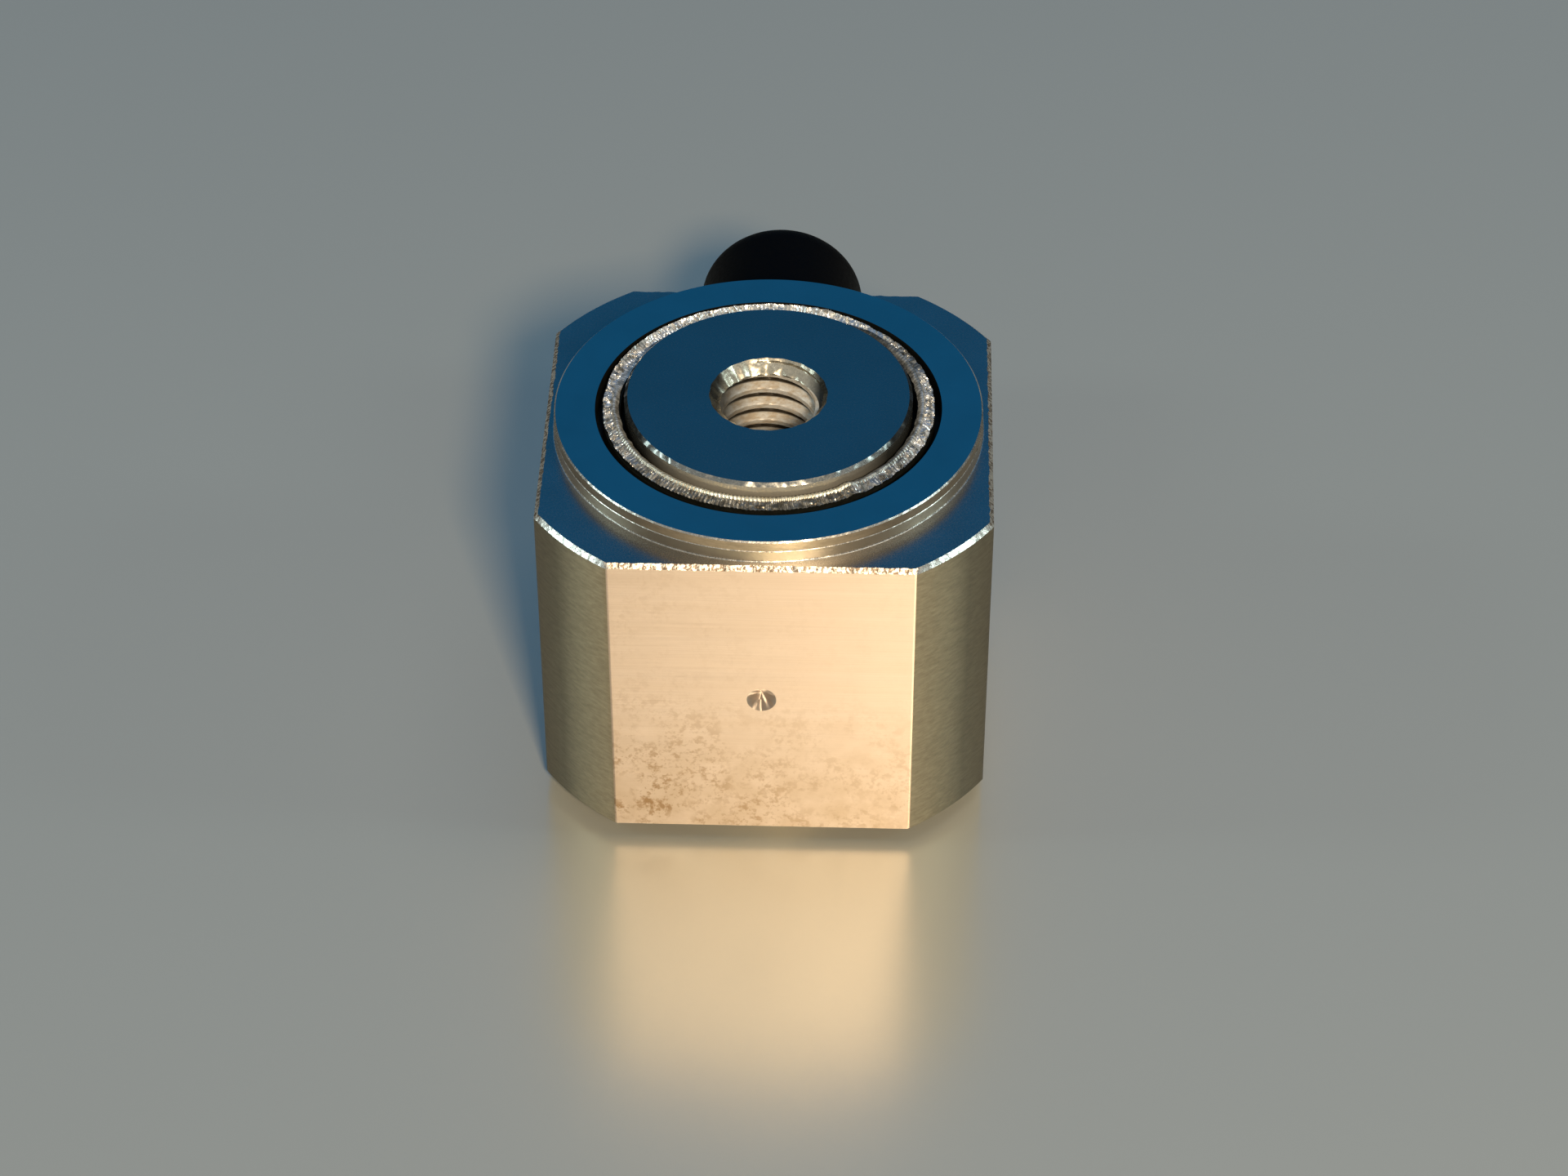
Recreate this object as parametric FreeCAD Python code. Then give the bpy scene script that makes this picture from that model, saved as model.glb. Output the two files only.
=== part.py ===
import FreeCAD, Part
import math
import os

# Piezoelectric press force sensor, in millimetres, +Z up.
# The origin is the centre of the foot's bearing face, on the force axis.
# The front flat faces -Y, and the coaxial connector leaves the back flat along +Y.

# Housing: a turned bar with four milled flats
body_diameter = 19.0
across_flats = 15.8
body_height = 12.05
body_top_chamfer = 0.15
body_bottom_chamfer = 0.05
foot_height = 0.6
foot_step = 0.8
foot_chamfer = 0.1
shoulder_height = 0.84
shoulder_step = 0.34
shoulder_chamfer = 0.05
shoulder_root = 0.05
dimple_diameter = 1.03
dimple_point_angle = 100.0

# Weld lips: two thin rings, edge-welded, with a narrow groove on each side
shoulder_wall = 1.46
groove_width = 0.245
lip_thickness = 0.31
lip_clearance = 0.01
lip_height = 0.85
disc_gap = 0.155
weld_height = 0.35
weld_bevel = 0.12
weld_rise = 0.2

# Force cap: the disc that takes the load, and the plunger under it
disc_rise = 0.51
disc_chamfer = 0.2
web_thickness = 0.3
web_clearance = 0.05
plunger_chamfer = 0.15

# Tapped holes, top and bottom: M4, drawn at the tap drill's size
tap_drill_diameter = 3.3
countersink_diameter = 4.15
countersink_angle = 90.0
drill_point_angle = 118.0
drill_web = 0.8

# Crystal stack, with its electrode at the connector's height
connector_level = 6.67
crystal_thickness = 1.0
electrode_thickness = 0.15
electrode_margin = 0.2
tab_width = 0.5
cavity_ledge = 0.37
sleeve_wall = 0.7
sleeve_clearance = 0.05
sleeve_overlap = 0.6

# Coaxial jack: 10-32 thread, drawn at its outer diameter
jack_thread_diameter = 4.83
jack_thread_length = 5.8
jack_lead_chamfer = 0.3
relief_depth = 0.37
relief_length = 0.5
collar_step = 0.45
collar_height = 0.4
spigot_ledge = 0.265
spigot_length = 2.0
socket_wall = 0.345
socket_depth = 3.4
nose_diameter = 2.0
contact_head_diameter = 1.2
contact_head_length = 2.6
contact_stem_diameter = 0.7
contact_hole_diameter = 0.6
contact_hole_depth = 2.0
contact_slot_width = 0.15
contact_clearance = 0.02
sleeve_hole_margin = 0.25

# Push-on protective cap with a rounded end
cap_clearance = 0.055
cap_wall = 0.68
cap_headroom = 1.64
cap_end_radius = 1.6
cap_mouth_chamfer = 0.15

# Levels along the force axis
body_top = foot_height + body_height
shoulder_top = body_top + shoulder_height
disc_top = shoulder_top + disc_rise
lip_top = shoulder_top + weld_rise - weld_height
web_top = lip_top - lip_height
web_bottom = web_top - web_thickness
cavity_ledge_level = web_bottom - web_clearance
crystal_seat = connector_level - electrode_thickness / 2 - crystal_thickness
stack_top = connector_level + electrode_thickness / 2 + crystal_thickness

# Radii, from the flats inwards
flat_distance = across_flats / 2
body_radius = body_diameter / 2
foot_radius = flat_distance - foot_step
shoulder_radius = flat_distance - shoulder_step
groove_radius = shoulder_radius - shoulder_wall
lip_radius = groove_radius - groove_width
lip_bore_radius = lip_radius - lip_thickness
cap_lip_radius = lip_bore_radius - lip_clearance
cap_lip_bore_radius = cap_lip_radius - lip_thickness
disc_radius = cap_lip_bore_radius - disc_gap
cavity_radius = lip_bore_radius - cavity_ledge
sleeve_radius = cavity_radius - sleeve_clearance
sleeve_bore_radius = sleeve_radius - sleeve_wall
crystal_radius = sleeve_bore_radius - sleeve_clearance
electrode_radius = crystal_radius - electrode_margin
tap_drill_radius = tap_drill_diameter / 2
countersink_radius = countersink_diameter / 2

# Radii and stations along the connector's axis
jack_thread_radius = jack_thread_diameter / 2
relief_radius = jack_thread_radius - relief_depth
collar_radius = jack_thread_radius + collar_step
spigot_radius = collar_radius - spigot_ledge
socket_radius = relief_radius - socket_wall
nose_radius = nose_diameter / 2
contact_stem_radius = contact_stem_diameter / 2
sleeve_hole_radius = contact_stem_radius + sleeve_hole_margin
cap_bore_radius = jack_thread_radius + cap_clearance
cap_radius = cap_bore_radius + cap_wall
cap_inner_bevel = cap_end_radius - cap_wall
spigot_start = flat_distance - spigot_length
collar_end = flat_distance + collar_height
relief_end = collar_end + relief_length
jack_end = relief_end + jack_thread_length
socket_floor = jack_end - socket_depth
contact_start = sleeve_bore_radius + sleeve_wall / 2
cap_end = jack_end + cap_headroom + cap_wall


def cone_height(radius, angle):
    """Height of a cone of the given base radius and full point angle in degrees."""
    return radius / math.tan(math.radians(angle / 2))


countersink_depth = cone_height(countersink_radius - tap_drill_radius, countersink_angle)
drill_tip = cone_height(tap_drill_radius, drill_point_angle)
base_hole_depth = crystal_seat - drill_web - drill_tip
cap_hole_floor = stack_top + drill_web + drill_tip


def section_point(point):
    """Point of a half-section, given as radius and level, in the XZ plane."""
    radius, level = point
    return FreeCAD.Vector(radius, 0, level)


def turned(steps):
    """Solid turned about Z from a closed half-section.

    A step is the next point of the outline, or the middle and end points of an arc.
    """
    edges = []
    here = section_point(steps[0])
    for step in steps[1:] + steps[:1]:
        if isinstance(step[0], tuple):
            middle, end = (section_point(point) for point in step)
            edges.append(Part.Arc(here, middle, end).toShape())
        else:
            end = section_point(step)
            edges.append(Part.LineSegment(here, end).toShape())
        here = end
    section = Part.Face(Part.Wire(edges))
    solid = section.revolve(FreeCAD.Vector(0, 0, 0), FreeCAD.Vector(0, 0, 1), 360)
    if solid.Volume < 0:
        solid.reverse()
    return solid


def on_connector_axis(shape):
    """Turn a shape made along +Z to lie along +Y at the connector's height."""
    shape.rotate(FreeCAD.Vector(0, 0, 0), FreeCAD.Vector(1, 0, 0), -90)
    shape.translate(FreeCAD.Vector(0, 0, connector_level))
    return shape


def rod(radius, start, end):
    """Cylinder along the connector's axis between two stations."""
    cylinder = Part.makeCylinder(radius, end - start, FreeCAD.Vector(0, 0, start))
    return on_connector_axis(cylinder)


def make_housing():
    """Body with flats, foot, shoulder, weld lip, crystal cavity, dimple and connector seat."""
    bar = turned([
        (0, base_hole_depth + drill_tip),
        (tap_drill_radius, base_hole_depth),
        (tap_drill_radius, countersink_depth),
        (countersink_radius, 0),
        (foot_radius - foot_chamfer, 0),
        (foot_radius, foot_chamfer),
        (foot_radius, foot_height),
        (body_radius - body_bottom_chamfer, foot_height),
        (body_radius, foot_height + body_bottom_chamfer),
        (body_radius, body_top - body_top_chamfer),
        (body_radius - body_top_chamfer, body_top),
        (shoulder_radius + shoulder_root, body_top),
        (shoulder_radius, body_top + shoulder_root),
        (shoulder_radius, shoulder_top - shoulder_chamfer),
        (shoulder_radius - shoulder_chamfer, shoulder_top),
        (groove_radius, shoulder_top),
        (groove_radius, web_top),
        (lip_radius, web_top),
        (lip_radius, lip_top),
        (lip_bore_radius, lip_top),
        (lip_bore_radius, cavity_ledge_level),
        (cavity_radius, cavity_ledge_level),
        (cavity_radius, crystal_seat),
        (0, crystal_seat),
    ])
    block = Part.makeBox(
        across_flats, across_flats, body_top,
        FreeCAD.Vector(-flat_distance, -flat_distance, 0),
    )
    top_edges = [edge for edge in block.Edges if edge.BoundBox.ZMin > foot_height]
    block = block.makeChamfer(body_top_chamfer, top_edges)
    shoulder = Part.makeCylinder(shoulder_radius + shoulder_root, shoulder_top)
    housing = bar.common(block.fuse(shoulder))
    dimple = Part.makeCone(
        dimple_diameter / 2, 0, cone_height(dimple_diameter / 2, dimple_point_angle),
        FreeCAD.Vector(0, -flat_distance, connector_level), FreeCAD.Vector(0, 1, 0),
    )
    seat = rod(spigot_radius, spigot_start, body_radius)
    lead_hole = rod(nose_radius, 0, body_radius)
    lead_hole = lead_hole.cut(Part.makeCylinder(cavity_radius, shoulder_top))
    return housing.cut(Part.makeCompound([dimple, seat.fuse(lead_hole)]))


def make_force_cap():
    """Loaded disc with its tapped hole, plunger, web and weld lip."""
    return turned([
        (0, stack_top),
        (crystal_radius - plunger_chamfer, stack_top),
        (crystal_radius, stack_top + plunger_chamfer),
        (crystal_radius, web_bottom),
        (cap_lip_radius, web_bottom),
        (cap_lip_radius, lip_top),
        (cap_lip_bore_radius, lip_top),
        (cap_lip_bore_radius, web_top),
        (disc_radius, web_top),
        (disc_radius, disc_top - disc_chamfer),
        (disc_radius - disc_chamfer, disc_top),
        (countersink_radius, disc_top),
        (tap_drill_radius, disc_top - countersink_depth),
        (tap_drill_radius, cap_hole_floor),
        (0, cap_hole_floor - drill_tip),
    ])


def make_weld_bead():
    """Seam on top of the two lips, bevelled on both sides."""
    weld_top = lip_top + weld_height
    return turned([
        (cap_lip_bore_radius, lip_top),
        (lip_radius, lip_top),
        (lip_radius, weld_top - weld_bevel),
        (lip_radius - weld_bevel, weld_top),
        (cap_lip_bore_radius + weld_bevel, weld_top),
        (cap_lip_bore_radius, weld_top - weld_bevel),
    ])


def make_crystal(level):
    """Piezoelectric disc standing on the given level."""
    return Part.makeCylinder(crystal_radius, crystal_thickness, FreeCAD.Vector(0, 0, level))


def make_electrode():
    """Thin disc between the crystals, with a tab that meets the contact's tail."""
    level = connector_level - electrode_thickness / 2
    disc = Part.makeCylinder(electrode_radius, electrode_thickness, FreeCAD.Vector(0, 0, level))
    tab = Part.makeBox(
        tab_width, contact_start, electrode_thickness,
        FreeCAD.Vector(-tab_width / 2, 0, level),
    )
    return disc.fuse(tab).removeSplitter()


def make_insulating_sleeve():
    """Ring round the crystals and the plunger's end, with a side hole for the contact."""
    height = stack_top + sleeve_overlap - crystal_seat
    base = FreeCAD.Vector(0, 0, crystal_seat)
    ring = Part.makeCylinder(sleeve_radius, height, base)
    ring = ring.cut(Part.makeCylinder(sleeve_bore_radius, height, base))
    return ring.cut(rod(sleeve_hole_radius, 0, body_radius))


def make_connector_body():
    """Shell of the jack: spigot in the housing, collar, relief and threaded barrel."""
    return on_connector_axis(turned([
        (socket_radius, spigot_start),
        (spigot_radius, spigot_start),
        (spigot_radius, flat_distance),
        (collar_radius, flat_distance),
        (collar_radius, collar_end),
        (relief_radius, collar_end),
        (relief_radius, relief_end),
        (jack_thread_radius, relief_end + relief_depth),
        (jack_thread_radius, jack_end - jack_lead_chamfer),
        (jack_thread_radius - jack_lead_chamfer, jack_end),
        (socket_radius, jack_end),
    ]))


def make_connector_insulator():
    """Bush that fills the shell behind the socket, with a nose through the housing wall."""
    hole = contact_stem_radius + contact_clearance
    return on_connector_axis(turned([
        (hole, cavity_radius),
        (nose_radius, cavity_radius),
        (nose_radius, spigot_start),
        (socket_radius, spigot_start),
        (socket_radius, socket_floor),
        (hole, socket_floor),
    ]))


def make_centre_contact():
    """Slotted socket on a stem whose tail meets the electrode's tab."""
    head_radius = contact_head_diameter / 2
    head_end = socket_floor + contact_head_length
    hole_floor = head_end - contact_hole_depth
    contact = on_connector_axis(turned([
        (0, contact_start),
        (contact_stem_radius, contact_start),
        (contact_stem_radius, socket_floor),
        (head_radius, socket_floor),
        (head_radius, head_end),
        (contact_hole_diameter / 2, head_end),
        (contact_hole_diameter / 2, hole_floor),
        (0, hole_floor),
    ]))
    slot = Part.makeBox(
        contact_slot_width, contact_hole_depth, contact_head_diameter,
        FreeCAD.Vector(-contact_slot_width / 2, hole_floor, connector_level - head_radius),
    )
    return contact.cut(slot)


def make_protective_cap():
    """Thin-walled push-on cap with a rounded end, standing on the jack's collar."""
    outer_turn = cap_end - cap_end_radius
    end_arc_reach = cap_end_radius * math.cos(math.radians(45))
    end_arc_middle = (cap_radius - cap_end_radius + end_arc_reach, outer_turn + end_arc_reach)
    return on_connector_axis(turned([
        (cap_bore_radius + cap_mouth_chamfer, collar_end),
        (cap_radius, collar_end),
        (cap_radius, outer_turn),
        (end_arc_middle, (cap_radius - cap_end_radius, cap_end)),
        (0, cap_end),
        (0, cap_end - cap_wall),
        (cap_bore_radius - cap_inner_bevel, cap_end - cap_wall),
        (cap_bore_radius, outer_turn),
        (cap_bore_radius, collar_end + cap_mouth_chamfer),
    ]))


pieces = {
    "housing": make_housing(),
    "force_cap": make_force_cap(),
    "weld_bead": make_weld_bead(),
    "upper_crystal": make_crystal(stack_top - crystal_thickness),
    "electrode": make_electrode(),
    "lower_crystal": make_crystal(crystal_seat),
    "insulating_sleeve": make_insulating_sleeve(),
    "connector_body": make_connector_body(),
    "connector_insulator": make_connector_insulator(),
    "centre_contact": make_centre_contact(),
    "protective_cap": make_protective_cap(),
}

os.makedirs("parts", exist_ok=True)
for name, shape in pieces.items():
    shape.exportStep(f"parts/{name}.step")
    print(name, "valid" if shape.isValid() else "NOT VALID", len(shape.Solids), round(shape.Volume, 3))
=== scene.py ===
import math
import bpy
from mathutils import Matrix, Vector, noise


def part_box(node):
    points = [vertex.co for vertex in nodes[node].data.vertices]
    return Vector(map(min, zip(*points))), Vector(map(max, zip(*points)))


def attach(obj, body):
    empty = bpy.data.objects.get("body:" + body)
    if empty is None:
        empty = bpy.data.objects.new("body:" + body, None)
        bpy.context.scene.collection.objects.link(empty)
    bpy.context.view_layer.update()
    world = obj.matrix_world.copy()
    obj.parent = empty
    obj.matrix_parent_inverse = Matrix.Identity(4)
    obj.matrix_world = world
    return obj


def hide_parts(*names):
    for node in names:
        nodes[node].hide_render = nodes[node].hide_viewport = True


# Looks of a small stainless-steel press force sensor, in metres, in the frame of the solids.
# The force axis is Z, the front flat faces -Y and the connector leaves the back flat along +Y.
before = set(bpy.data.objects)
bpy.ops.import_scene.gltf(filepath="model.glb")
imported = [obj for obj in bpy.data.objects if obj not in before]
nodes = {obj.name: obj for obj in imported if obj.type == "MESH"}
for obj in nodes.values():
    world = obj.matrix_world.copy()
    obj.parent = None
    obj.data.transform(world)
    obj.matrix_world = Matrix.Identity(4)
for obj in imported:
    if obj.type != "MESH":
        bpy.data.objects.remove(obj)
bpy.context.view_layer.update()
MM = 0.001

# Sizes read from the frame
flat_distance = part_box("housing")[1].x
shoulder_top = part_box("housing")[1].z
stack_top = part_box("force_cap")[0].z
disc_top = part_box("force_cap")[1].z
cap_lip_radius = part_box("force_cap")[1].x
lip_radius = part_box("weld_bead")[1].x
lip_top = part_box("weld_bead")[0].z
weld_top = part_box("weld_bead")[1].z
crystal_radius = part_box("lower_crystal")[1].x
crystal_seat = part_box("lower_crystal")[0].z
collar_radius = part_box("connector_body")[1].x
spigot_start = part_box("connector_body")[0].y
jack_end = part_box("connector_body")[1].y
cavity_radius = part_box("connector_insulator")[0].y
socket_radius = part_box("connector_insulator")[1].x
cap_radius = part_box("protective_cap")[1].x
collar_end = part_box("protective_cap")[0].y
cap_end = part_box("protective_cap")[1].y
connector_level = (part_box("connector_body")[0].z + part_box("connector_body")[1].z) / 2

# Housing: sizes that its box doesn't give
body_radius = 9.5 * MM
body_top_chamfer = 0.15 * MM
body_bottom_chamfer = 0.05 * MM
foot_height = 0.6 * MM
foot_step = 0.8 * MM
foot_chamfer = 0.1 * MM
shoulder_height = 0.84 * MM
shoulder_step = 0.34 * MM
shoulder_wall = 1.46 * MM
shoulder_chamfer = 0.05 * MM
shoulder_root = 0.05 * MM
dimple_radius = 0.515 * MM
dimple_angle = math.radians(100)
nose_radius = 1.0 * MM
spigot_ledge = 0.265 * MM
body_top = shoulder_top - shoulder_height
foot_radius = flat_distance - foot_step
shoulder_radius = flat_distance - shoulder_step
groove_radius = shoulder_radius - shoulder_wall
dimple_depth = dimple_radius / math.tan(dimple_angle / 2)
spigot_radius = collar_radius - spigot_ledge
# a step half-way up the shoulder's wall, and the broken corners beside the flats
band_height = 0.45 * MM
band_step = 0.02 * MM
edge_round = 0.012 * MM
# how far the cutter of the jack's seat reaches into the cavity
seat_reach = 0.68 * MM

# Filed edge on top of the flats: its depth, its fade towards the corners, and two kinds of noise,
# each with its waves to a millimetre and where in the noise the first flat and the next ones start
file_depth = 0.035 * MM
file_fade = 0.3 * MM
broad_waves, broad_start, broad_shift = 1.1, 0.5, 7.7
tooth_waves, tooth_start, tooth_shift = 5.3, 5.5, 3.9
broad_share = 0.5

# Force cap, and the lips that the seam joins
groove_depth = 0.85 * MM
lip_thickness = 0.31 * MM
disc_gap = 0.155 * MM
web_thickness = 0.3 * MM
web_clearance = 0.05 * MM
plunger_chamfer = 0.15 * MM
web_top = lip_top - groove_depth
web_bottom = web_top - web_thickness
lip_bore = cap_lip_radius - lip_thickness
# the disc's edge as in the photograph, narrower than the solid's 0.2 mm
disc_chamfer = 0.12 * MM

# Tapped holes: M4, with the thread cut outwards from the tap drill's wall
tap_radius = 1.65 * MM
thread_root_radius = 2.0 * MM
thread_pitch = 0.7 * MM
thread_runout = 0.5 * MM
countersink_radius = 2.075 * MM
drill_angle = math.radians(118)
drill_web = 0.8 * MM
countersink_depth = countersink_radius - tap_radius
drill_tip = tap_radius / math.tan(drill_angle / 2)
# flat shares of a 60 degree thread's pitch
crest_share, root_share = 0.25, 0.125
# radii between which painted shade darkens the roots
thread_shade = (1.88 * MM, 1.93 * MM)
# chatter marks in the countersink, which start with a share of their depth and vary round it
chatter_depth = 0.045 * MM
chatter_count = 20
chatter_start = 0.3
chatter_waves = 3

# Weld seam: it ends in a lump to the front right, after a smoother stretch
seam_end = math.radians(302)
calm_reach = math.radians(120)
calm_end = math.radians(2)
calm_share = 0.65
lump_height = 0.08 * MM
lump_reach = 0.22 * MM
# its crown, in shares of its width and of its height: a narrow ridge, then a shelf
ridge_place, shelf_place = 0.34, 0.52
inner_share, shelf_share, outer_share = 0.6, 0.72, 0.5
# at the back it leans to face the front: the middle of the lean, the cosines of the turn from there
# at which it starts and is full, and the seam's height on its inner and outer side
lean_turn = math.radians(115)
lean_start, lean_full = 0.42, 0.71
lean_low, lean_top = 0.25, 0.8
# two stretches to the right in painted shade
shade_turns = (math.radians(-42), math.radians(33))
shade_reach = math.radians(20)
shade_share = 0.45
# its metal: ripples round it, facets to a millimetre with their slope and their share at the outer
# edge, and edges that waver and have teeth
ripple_height = 0.006 * MM
ripple_count = 250
facet_count, facet_slope = 4.6, 1.3
facet_edge = 0.3
waver_width, waver_waves = 0.09 * MM, 2.5
teeth_width, teeth_waves = 0.03 * MM, 8

# Jack: 10-32 thread, cut inwards from its outer diameter
jack_radius = 2.415 * MM
jack_pitch = 0.794 * MM
jack_lead_chamfer = 0.3 * MM
relief_depth = 0.37 * MM
relief_length = 0.5 * MM
jack_root_radius = jack_radius - relief_depth

# Protective cap
cap_wall = 0.68 * MM
cap_end_radius = 1.6 * MM
cap_mouth_chamfer = 0.15 * MM

# Fineness of the meshes
flat_cells = 180
corner_cells = 24
seat_cells = 96
dimple_cells = 64
cap_cells = 128
thread_cells = 168
thread_row = 0.028 * MM
seam_cells = 2160
crown_cells = 20
ridge_cells = 9
fade_cells = 4
arc_cells = 8
cap_arc_cells = 16
sharp_angle = math.radians(28)


# Mesh helpers

def clamp(value):
    """Value kept between 0 and 1."""
    return min(1.0, max(0.0, value))


def heading(turn):
    """Unit vector at a turn about the force axis."""
    return Vector((math.cos(turn), math.sin(turn), 0))


def mesh_object(name, vertices, faces, face_slots, materials):
    """Mesh object with smooth shading, sharp edges kept, and a material slot for each face."""
    mesh = bpy.data.meshes.new(name)
    mesh.from_pydata(vertices, [], faces)
    for material in materials:
        mesh.materials.append(material)
    for polygon, face_slot in zip(mesh.polygons, face_slots):
        polygon.use_smooth = True
        polygon.material_index = face_slot
    mesh.validate()
    mesh.update()
    mesh.set_sharp_from_angle(angle=sharp_angle)
    piece = bpy.data.objects.new(name, mesh)
    bpy.context.scene.collection.objects.link(piece)
    return piece


def skinned(name, rings, materials, band_slot=lambda band, step: 0):
    """Mesh object over a run of closed rings. A ring of one point is a pole.

    band_slot gives the material slot of the face at a step along a band between two rings.
    """
    vertices, starts = [], []
    for ring in rings:
        starts.append(len(vertices))
        vertices.extend(ring)
    faces, slots = [], []
    for band in range(len(rings) - 1):
        here, there = rings[band], rings[band + 1]
        count = max(len(here), len(there))
        for step in range(count):
            after = (step + 1) % count
            lower = [starts[band] + step, starts[band] + after]
            upper = [starts[band + 1] + after, starts[band + 1] + step]
            lower = lower if len(here) > 1 else [starts[band]]
            upper = upper if len(there) > 1 else [starts[band + 1]]
            faces.append(lower + upper)
            slots.append(band_slot(band, step))
    return mesh_object(name, vertices, faces, slots, materials)


def arc_points(centre, radius, start, end, cells=arc_cells):
    """Points of an arc in a half-section, after its first point, angles in degrees."""
    points = []
    for step in range(1, cells + 1):
        angle = math.radians(start + (end - start) * step / cells)
        points.append((centre[0] + radius * math.cos(angle), centre[1] + radius * math.sin(angle)))
    return points


def round_ring(radius, level, cells):
    """Ring of points about Z, or a pole where the radius is nothing."""
    if radius == 0:
        return [(0, 0, level)]
    turns = [2 * math.pi * step / cells for step in range(cells)]
    return [(radius * math.cos(turn), radius * math.sin(turn), level) for turn in turns]


def file_mark(along, room, quarter):
    """Unevenness of the filed edge on top of a flat, at a place along it and room to its end."""
    reach = along / MM
    broad = noise.noise(Vector((reach * broad_waves, quarter * broad_shift, broad_start)))
    tooth = noise.noise(Vector((reach * tooth_waves, quarter * tooth_shift, tooth_start)))
    return file_depth * min(1, room / file_fade) * (broad_share * broad + tooth)


def block_ring(radius, level, filed=None):
    """Ring about Z that the four flats cut: a circle where it is smaller than the flats.

    The filed edge on top of the flats has two uneven rings, one down the flat and one in from it.
    """
    if radius == 0:
        return [(0, 0, level)]
    flat = flat_distance - (body_top_chamfer if filed == "in" else 0)
    # a flat ends at the turn named edge, and past its broken corner the turned arc starts
    reach = max(radius, body_radius - body_bottom_chamfer)
    half = math.sqrt(reach ** 2 - flat ** 2)
    edge = math.atan2(half - edge_round, flat)
    start = math.atan2(half, flat) + edge_round / reach
    span = math.pi / 2 - 2 * start
    points = []
    for quarter in range(4):
        base = quarter * math.pi / 2
        turns = [-edge + 2 * edge * step / flat_cells for step in range(flat_cells + 1)]
        turns += [start + span * step / corner_cells for step in range(corner_cells + 1)]
        for step, turn in enumerate(turns):
            out = min(radius, flat / max(abs(math.cos(turn)), abs(math.sin(turn))))
            up = level
            if filed and step <= flat_cells:
                along = flat * math.tan(turn)
                mark = file_mark(along, half - abs(along), quarter)
                up -= mark if filed == "down" else 0
                out -= mark / math.cos(turn) if filed == "in" else 0
            points.append((out * math.cos(base + turn), out * math.sin(base + turn), up))
    return points


def thread_share(turns):
    """Depth of a 60 degree thread, from 0 at its crest to 1 at its root, at a number of turns."""
    flank = (1 - crest_share - root_share) / 2
    part = turns % 1.0
    if part < crest_share:
        return 0.0
    if part < crest_share + flank:
        return (part - crest_share) / flank
    if part < crest_share + flank + root_share:
        return 1.0
    return (1 - part) / flank


def threaded_rows(low, high, pitch, radius_at):
    """Rings of a helical wall from low to high, with its radius at a level, turn and thread depth."""
    count = round((high - low) / thread_row)
    rings = []
    for row in range(count + 1):
        level = low + (high - low) * row / count
        ring = []
        for step in range(thread_cells):
            turn = step / thread_cells
            radius = radius_at(level, turn, thread_share(level / pitch - turn))
            angle = 2 * math.pi * turn
            ring.append((radius * math.cos(angle), radius * math.sin(angle), level))
        rings.append(ring)
    return rings


def tapped_radius(share, from_end):
    """Radius of a tapped hole at a thread depth. The thread runs out towards its end."""
    return tap_radius + (thread_root_radius - tap_radius) * share * clamp(from_end / thread_runout)


def along_connector(piece):
    """Turn a mesh made along +Z to lie along +Y at the connector's height."""
    turn = Matrix.Translation((0, 0, connector_level)) @ Matrix.Rotation(math.radians(-90), 4, "X")
    piece.data.transform(turn)
    return piece


def cut_away(piece, cutters):
    """Cut closed meshes out of a piece and remove them. Their materials are among the piece's own."""
    for cutter in cutters:
        cut = piece.modifiers.new("cut", "BOOLEAN")
        cut.operation = "DIFFERENCE"
        cut.solver = "EXACT"
        cut.object = cutter
    depsgraph = bpy.context.evaluated_depsgraph_get()
    mesh = bpy.data.meshes.new_from_object(piece.evaluated_get(depsgraph))
    piece.modifiers.clear()
    piece.data = mesh
    mesh.set_sharp_from_angle(angle=sharp_angle)
    for cutter in cutters:
        bpy.data.objects.remove(cutter)
    return piece


def adopt(piece, body, slot, *replaced):
    """Ride a piece on a body and let it stand for solids, which it hides. The slot is not used."""
    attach(piece, body)
    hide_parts(*replaced)


# Material helpers: colours are red, green and blue, places are in millimetres, waves to a millimetre

STAIN = (0.40, 0.26, 0.135)
SHADE = (0.02, 0.025, 0.025)
BLACK = (0.0, 0.0, 0.0)
# most values of a noise lie in this range
NOISE_RANGE = (0.3, 0.7)
# quarter turn, so that light spreads across marks that run round the force axis
ACROSS_MARKS = 0.25


def shader(name, **settings):
    """New node material; settings are values of the main shader's own sockets."""
    material = bpy.data.materials.new(name)
    material.use_nodes = True
    tree = material.node_tree
    main = tree.nodes["Principled BSDF"]
    for socket, value in settings.items():
        main.inputs[socket.replace("_", " ")].default_value = value
    return material, tree, main


def node(tree, kind, inputs=None, **settings):
    """Node of a kind, with its settings and its input values or links."""
    made = tree.nodes.new(kind)
    for key, value in settings.items():
        setattr(made, key, value)
    for key, value in (inputs or {}).items():
        if isinstance(value, bpy.types.NodeSocket):
            tree.links.new(value, made.inputs[key])
        else:
            made.inputs[key].default_value = value
    return made


def place(tree, scale):
    """Object coordinates in millimetres, stretched by a scale for each axis."""
    coordinates = node(tree, "ShaderNodeTexCoord")
    stretch = [part / MM for part in scale]
    mapped = node(tree, "ShaderNodeMapping", {"Vector": coordinates.outputs["Object"], "Scale": stretch})
    return mapped.outputs["Vector"]


def spot(tree, axis):
    """Place along one axis, in millimetres."""
    return node(tree, "ShaderNodeSeparateXYZ", {0: place(tree, (1, 1, 1))}).outputs[axis]


def grain(tree, waves, detail=3.0, rough=0.55):
    """Noise over the object's place, as a value from 0 to 1.

    It has so many waves to a millimetre, given as one number or as one for each axis.
    """
    scale = waves if isinstance(waves, tuple) else (waves, waves, waves)
    made = node(tree, "ShaderNodeTexNoise", {
        "Vector": place(tree, scale), "Scale": 1.0, "Detail": detail, "Roughness": rough,
    })
    return made.outputs["Fac"]


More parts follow.
